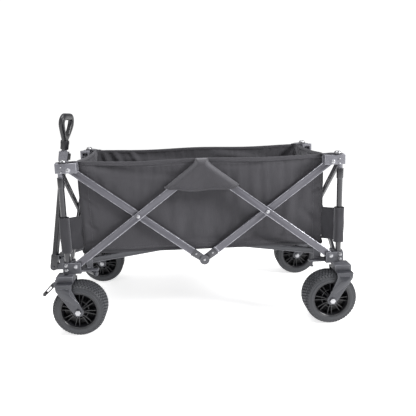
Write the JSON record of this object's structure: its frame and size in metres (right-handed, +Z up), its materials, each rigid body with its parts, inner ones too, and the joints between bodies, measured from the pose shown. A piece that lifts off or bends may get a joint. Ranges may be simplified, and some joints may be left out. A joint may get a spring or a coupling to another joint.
{
  "type": "folding wagon",
  "caption": "Folding four-wheeled cloth wagon on a scissor frame, with a telescoping pull handle and swivelling front castors.",
  "frame": {"origin": "on the ground under the middle of the wagon's box, on the centre plane", "axes": "+Z up, +X towards the rear, -X towards the pull handle, -Y the wagon's left side"},
  "size_m": [1.1165, 0.648, 0.7453],
  "materials": {
    "painted_steel": "satin grey paint",
    "dark_paint": "dark grey paint",
    "black_plastic": "moulded black",
    "grey_plastic": "moulded grey",
    "tyre_rubber": "matt",
    "bright_steel": "bright",
    "charcoal_cloth": "woven polyester"
  },
  "bodies": {
    "frame_front_left": {"lower_corner_front_left": "grey_plastic", "outer_post_front_left": "painted_steel"},
    "top_front_left": {"upper_corner_front_left": "grey_plastic", "bag_wall_left": "charcoal_cloth", "bag_wall_front": "charcoal_cloth"},
    "lower_arm_front_left": {"lower_arm_front_left": "painted_steel"},
    "upper_arm_front_left": {"upper_arm_front_left": "painted_steel"},
    "front_cross_arm_left": {"front_cross_arm_left": "painted_steel"},
    "floor_strut_front_left": {"floor_strut_front_left": "dark_paint"},
    "wheel_front_left": {"rim_front_left": "black_plastic", "tyre_front_left": "tyre_rubber"},
    "frame_front_right": {"lower_corner_front_right": "grey_plastic", "outer_post_front_right": "painted_steel"},
    "top_front_right": {"upper_corner_front_right": "grey_plastic", "bag_wall_right": "charcoal_cloth"},
    "lower_arm_front_right": {"lower_arm_front_right": "painted_steel"},
    "upper_arm_front_right": {"upper_arm_front_right": "painted_steel"},
    "front_cross_arm_right": {"front_cross_arm_right": "painted_steel"},
    "floor_strut_front_right": {"floor_strut_front_right": "dark_paint"},
    "wheel_front_right": {"rim_front_right": "black_plastic", "tyre_front_right": "tyre_rubber"},
    "frame_rear_left": {"lower_corner_rear_left": "grey_plastic", "outer_post_rear_left": "painted_steel", "rear_fork_left": "dark_paint", "axle_rear_left": "bright_steel"},
    "top_rear_left": {"upper_corner_rear_left": "grey_plastic", "bag_wall_rear": "charcoal_cloth"},
    "lower_arm_rear_left": {"lower_arm_rear_left": "painted_steel"},
    "upper_arm_rear_left": {"upper_arm_rear_left": "painted_steel"},
    "rear_cross_arm_left": {"rear_cross_arm_left": "painted_steel"},
    "floor_strut_rear_left": {"floor_strut_rear_left": "dark_paint"},
    "wheel_rear_left": {"rim_rear_left": "black_plastic", "tyre_rear_left": "tyre_rubber"},
    "frame_rear_right": {"lower_corner_rear_right": "grey_plastic", "outer_post_rear_right": "painted_steel", "rear_fork_right": "dark_paint", "axle_rear_right": "bright_steel"},
    "top_rear_right": {"upper_corner_rear_right": "grey_plastic"},
    "lower_arm_rear_right": {"lower_arm_rear_right": "painted_steel"},
    "upper_arm_rear_right": {"upper_arm_rear_right": "painted_steel"},
    "rear_cross_arm_right": {"rear_cross_arm_right": "painted_steel"},
    "floor_strut_rear_right": {"floor_strut_rear_right": "dark_paint"},
    "wheel_rear_right": {"rim_rear_right": "black_plastic", "tyre_rear_right": "tyre_rubber"},
    "castor_left": {"castor_fork_left": "dark_paint", "axle_front_left": "bright_steel"},
    "brake_pedal_left": {"brake_pedal_left": "black_plastic"},
    "draw_link_left": {"draw_link_left": "dark_paint"},
    "bag_floor_left": {"bag_floor_left": "charcoal_cloth"},
    "castor_right": {"castor_fork_right": "dark_paint", "axle_front_right": "bright_steel"},
    "brake_pedal_right": {"brake_pedal_right": "black_plastic"},
    "draw_link_right": {"draw_link_right": "dark_paint"},
    "bag_floor_right": {"bag_floor_right": "charcoal_cloth"},
    "floor_hub": {"floor_hub": "dark_paint"},
    "handle_bracket": {"handle_bracket": "grey_plastic"},
    "handle_tube": {"handle_outer_tube": "painted_steel"},
    "handle_slider": {"handle_inner_tube": "painted_steel", "handle_grip": "black_plastic"},
    "handle_lock": {"handle_lock_lever": "black_plastic"}
  },
  "joints": [
    {"name": "frame_fold", "type": "hinge", "parent": "frame_front_left", "child": "lower_arm_front_left", "pos_m": [-0.40375, -0.248, 0.232], "axis": [0, -1, 0], "range_deg": [0, 40], "deforming": ["bag_wall_left", "bag_wall_right", "bag_floor_left", "bag_floor_right", "bag_wall_front", "bag_wall_rear"]},
    {"name": "fold_upper_arm_front_left", "type": "hinge", "parent": "lower_arm_front_left", "child": "upper_arm_front_left", "pos_m": [-0.18375, -0.242, 0.397], "axis": [0, 1, 0], "range_deg": [-0.01, 80.01]},
    {"name": "fold_top_front_left", "type": "hinge", "parent": "upper_arm_front_left", "child": "top_front_left", "pos_m": [-0.40375, -0.234, 0.562], "axis": [0, -1, 0], "range_deg": [-0.01, 40.01]},
    {"name": "fold_upper_arm_rear_left", "type": "hinge", "parent": "upper_arm_front_left", "child": "upper_arm_rear_left", "pos_m": [0.03625, -0.234, 0.232], "axis": [0, -1, 0], "range_deg": [-0.01, 80.01]},
    {"name": "fold_lower_arm_rear_left", "type": "hinge", "parent": "upper_arm_rear_left", "child": "lower_arm_rear_left", "pos_m": [0.25625, -0.242, 0.397], "axis": [0, 1, 0], "range_deg": [-0.01, 80.01]},
    {"name": "fold_frame_rear_left", "type": "hinge", "parent": "lower_arm_rear_left", "child": "frame_rear_left", "pos_m": [0.47625, -0.248, 0.232], "axis": [0, -1, 0], "range_deg": [-0.01, 40.01]},
    {"name": "fold_top_rear_left", "type": "hinge", "parent": "upper_arm_rear_left", "child": "top_rear_left", "pos_m": [0.47625, -0.234, 0.562], "axis": [0, 1, 0], "range_deg": [-0.01, 40.01]},
    {"name": "fold_front_cross_arm_left", "type": "hinge", "parent": "frame_front_left", "child": "front_cross_arm_left", "pos_m": [-0.42675, -0.22, 0.232], "axis": [1, 0, 0], "range_deg": [-0.01, 40.01]},
    {"name": "fold_front_cross_arm_right", "type": "hinge", "parent": "front_cross_arm_left", "child": "front_cross_arm_right", "pos_m": [-0.43275, 0, 0.397], "axis": [-1, 0, 0], "range_deg": [-0.01, 80.01]},
    {"name": "fold_rear_cross_arm_left", "type": "hinge", "parent": "frame_rear_left", "child": "rear_cross_arm_left", "pos_m": [0.49925, -0.22, 0.232], "axis": [1, 0, 0], "range_deg": [-0.01, 40.01]},
    {"name": "fold_rear_cross_arm_right", "type": "hinge", "parent": "rear_cross_arm_left", "child": "rear_cross_arm_right", "pos_m": [0.50525, 0, 0.397], "axis": [-1, 0, 0], "range_deg": [-0.01, 80.01]},
    {"name": "fold_frame_front_right", "type": "hinge", "parent": "front_cross_arm_right", "child": "frame_front_right", "pos_m": [-0.43875, 0.22, 0.232], "axis": [1, 0, 0], "range_deg": [-0.01, 40.01]},
    {"name": "fold_lower_arm_front_right", "type": "hinge", "parent": "frame_front_right", "child": "lower_arm_front_right", "pos_m": [-0.40375, 0.248, 0.232], "axis": [0, -1, 0], "range_deg": [-0.01, 40.01]},
    {"name": "fold_upper_arm_front_right", "type": "hinge", "parent": "lower_arm_front_right", "child": "upper_arm_front_right", "pos_m": [-0.18375, 0.242, 0.397], "axis": [0, 1, 0], "range_deg": [-0.01, 80.01]},
    {"name": "fold_top_front_right", "type": "hinge", "parent": "upper_arm_front_right", "child": "top_front_right", "pos_m": [-0.40375, 0.234, 0.562], "axis": [0, -1, 0], "range_deg": [-0.01, 40.01]},
    {"name": "fold_upper_arm_rear_right", "type": "hinge", "parent": "upper_arm_front_right", "child": "upper_arm_rear_right", "pos_m": [0.03625, 0.234, 0.232], "axis": [0, -1, 0], "range_deg": [-0.01, 80.01]},
    {"name": "fold_lower_arm_rear_right", "type": "hinge", "parent": "upper_arm_rear_right", "child": "lower_arm_rear_right", "pos_m": [0.25625, 0.242, 0.397], "axis": [0, 1, 0], "range_deg": [-0.01, 80.01]},
    {"name": "fold_frame_rear_right", "type": "hinge", "parent": "lower_arm_rear_right", "child": "frame_rear_right", "pos_m": [0.47625, 0.248, 0.232], "axis": [0, -1, 0], "range_deg": [-0.01, 40.01]},
    {"name": "fold_top_rear_right", "type": "hinge", "parent": "upper_arm_rear_right", "child": "top_rear_right", "pos_m": [0.47625, 0.234, 0.562], "axis": [0, 1, 0], "range_deg": [-0.01, 40.01]},
    {"name": "fold_draw_link_left", "type": "hinge", "parent": "frame_front_left", "child": "draw_link_left", "pos_m": [-0.34375, -0.232, 0.197], "axis": [0, 0, 1], "range_deg": [-0.01, 40.01]},
    {"name": "fold_handle_bracket", "type": "hinge", "parent": "draw_link_left", "child": "handle_bracket", "pos_m": [-0.50875, -0.012, 0.197], "axis": [0, 0, -1], "range_deg": [-0.01, 40.01]},
    {"name": "fold_draw_link_right", "type": "hinge", "parent": "handle_bracket", "child": "draw_link_right", "pos_m": [-0.50875, 0.012, 0.197], "axis": [0, 0, -1], "range_deg": [-0.01, 40.01]},
    {"name": "fold_floor_strut_front_left", "type": "hinge", "parent": "frame_front_left", "child": "floor_strut_front_left", "pos_m": [-0.36875, -0.2025, 0.236], "axis": [0.4472, -0.8944, 0], "range_deg": [-0.01, 86.85]},
    {"name": "fold_floor_hub", "type": "hinge", "parent": "floor_strut_front_left", "child": "floor_hub", "pos_m": [-0.0353, -0.03578, 0.236], "axis": [-0.4472, 0.8944, 0], "range_deg": [-0.01, 86.85]},
    {"name": "fold_floor_strut_front_right", "type": "hinge", "parent": "frame_front_right", "child": "floor_strut_front_right", "pos_m": [-0.36875, 0.2025, 0.236], "axis": [-0.4472, -0.8944, 0], "range_deg": [-0.01, 86.85]},
    {"name": "fold_floor_strut_rear_left", "type": "hinge", "parent": "frame_rear_left", "child": "floor_strut_rear_left", "pos_m": [0.44125, -0.2025, 0.236], "axis": [0.4472, 0.8944, 0], "range_deg": [-0.01, 86.85]},
    {"name": "fold_floor_strut_rear_right", "type": "hinge", "parent": "frame_rear_right", "child": "floor_strut_rear_right", "pos_m": [0.44125, 0.2025, 0.236], "axis": [-0.4472, 0.8944, 0], "range_deg": [-0.01, 86.85]},
    {"name": "fold_bag_floor_left", "type": "hinge", "parent": "top_front_left", "child": "bag_floor_left", "pos_m": [0.03625, -0.2175, 0.2665], "axis": [1, 0, 0], "range_deg": [-0.01, 73.51]},
    {"name": "fold_bag_floor_right", "type": "hinge", "parent": "top_front_right", "child": "bag_floor_right", "pos_m": [0.03625, 0.2175, 0.2665], "axis": [-1, 0, 0], "range_deg": [-0.01, 73.51]},
    {"name": "castor_swivel_left", "type": "hinge", "parent": "frame_front_left", "child": "castor_left", "pos_m": [-0.43875, -0.266, 0.197], "axis": [0, 0, 1], "continuous": true},
    {"name": "wheel_spin_front_left", "type": "hinge", "parent": "castor_left", "child": "wheel_front_left", "pos_m": [-0.39575, -0.266, 0.09], "axis": [0, 1, 0], "continuous": true},
    {"name": "wheel_spin_rear_left", "type": "hinge", "parent": "frame_rear_left", "child": "wheel_rear_left", "pos_m": [0.46825, -0.266, 0.09], "axis": [0, 1, 0], "continuous": true},
    {"name": "brake_release_left", "type": "hinge", "parent": "castor_left", "child": "brake_pedal_left", "pos_m": [-0.47175, -0.266, 0.176], "axis": [0, 1, 0], "range_deg": [0, 20]},
    {"name": "castor_swivel_right", "type": "hinge", "parent": "frame_front_right", "child": "castor_right", "pos_m": [-0.43875, 0.266, 0.197], "axis": [0, 0, 1], "continuous": true},
    {"name": "wheel_spin_front_right", "type": "hinge", "parent": "castor_right", "child": "wheel_front_right", "pos_m": [-0.39575, 0.266, 0.09], "axis": [0, 1, 0], "continuous": true},
    {"name": "wheel_spin_rear_right", "type": "hinge", "parent": "frame_rear_right", "child": "wheel_rear_right", "pos_m": [0.46825, 0.266, 0.09], "axis": [0, 1, 0], "continuous": true},
    {"name": "brake_release_right", "type": "hinge", "parent": "castor_right", "child": "brake_pedal_right", "pos_m": [-0.47175, 0.266, 0.176], "axis": [0, 1, 0], "range_deg": [0, 20]},
    {"name": "handle_swing", "type": "hinge", "parent": "handle_bracket", "child": "handle_tube", "pos_m": [-0.54475, 0, 0.155], "axis": [0, -1, 0], "range_deg": [0, 95]},
    {"name": "handle_extend", "type": "slide", "parent": "handle_tube", "child": "handle_slider", "axis": [0.165, 0, 0.9863], "range_m": [0, 0.28]},
    {"name": "handle_lock_open", "type": "hinge", "parent": "handle_tube", "child": "handle_lock", "pos_m": [-0.45536, 0, 0.59528], "axis": [0, -1, 0], "range_deg": [0, 60]}
  ],
  "couplings": [
    {"joint": "fold_upper_arm_front_left", "follows": "frame_fold", "ratio": 2},
    {"joint": "fold_top_front_left", "follows": "frame_fold", "ratio": 1},
    {"joint": "fold_upper_arm_rear_left", "follows": "frame_fold", "ratio": 2},
    {"joint": "fold_lower_arm_rear_left", "follows": "frame_fold", "ratio": 2},
    {"joint": "fold_frame_rear_left", "follows": "frame_fold", "ratio": 1},
    {"joint": "fold_top_rear_left", "follows": "frame_fold", "ratio": 1},
    {"joint": "fold_front_cross_arm_left", "follows": "frame_fold", "ratio": 1},
    {"joint": "fold_front_cross_arm_right", "follows": "frame_fold", "ratio": 2},
    {"joint": "fold_rear_cross_arm_left", "follows": "frame_fold", "ratio": 1},
    {"joint": "fold_rear_cross_arm_right", "follows": "frame_fold", "ratio": 2},
    {"joint": "fold_frame_front_right", "follows": "frame_fold", "ratio": 1},
    {"joint": "fold_lower_arm_front_right", "follows": "frame_fold", "ratio": 1},
    {"joint": "fold_upper_arm_front_right", "follows": "frame_fold", "ratio": 2},
    {"joint": "fold_top_front_right", "follows": "frame_fold", "ratio": 1},
    {"joint": "fold_upper_arm_rear_right", "follows": "frame_fold", "ratio": 2},
    {"joint": "fold_lower_arm_rear_right", "follows": "frame_fold", "ratio": 2},
    {"joint": "fold_frame_rear_right", "follows": "frame_fold", "ratio": 1},
    {"joint": "fold_top_rear_right", "follows": "frame_fold", "ratio": 1},
    {"joint": "fold_draw_link_left", "follows": "frame_fold", "ratio": 1},
    {"joint": "fold_handle_bracket", "follows": "frame_fold", "ratio": 1},
    {"joint": "fold_draw_link_right", "follows": "frame_fold", "ratio": 1},
    {"joint": "fold_floor_strut_front_left", "follows": "frame_fold", "ratio": 2.171},
    {"joint": "fold_floor_hub", "follows": "frame_fold", "ratio": 2.171},
    {"joint": "fold_floor_strut_front_right", "follows": "frame_fold", "ratio": 2.171},
    {"joint": "fold_floor_strut_rear_left", "follows": "frame_fold", "ratio": 2.171},
    {"joint": "fold_floor_strut_rear_right", "follows": "frame_fold", "ratio": 2.171},
    {"joint": "fold_bag_floor_left", "follows": "frame_fold", "ratio": 1.8376},
    {"joint": "fold_bag_floor_right", "follows": "frame_fold", "ratio": 1.8376}
  ]
}
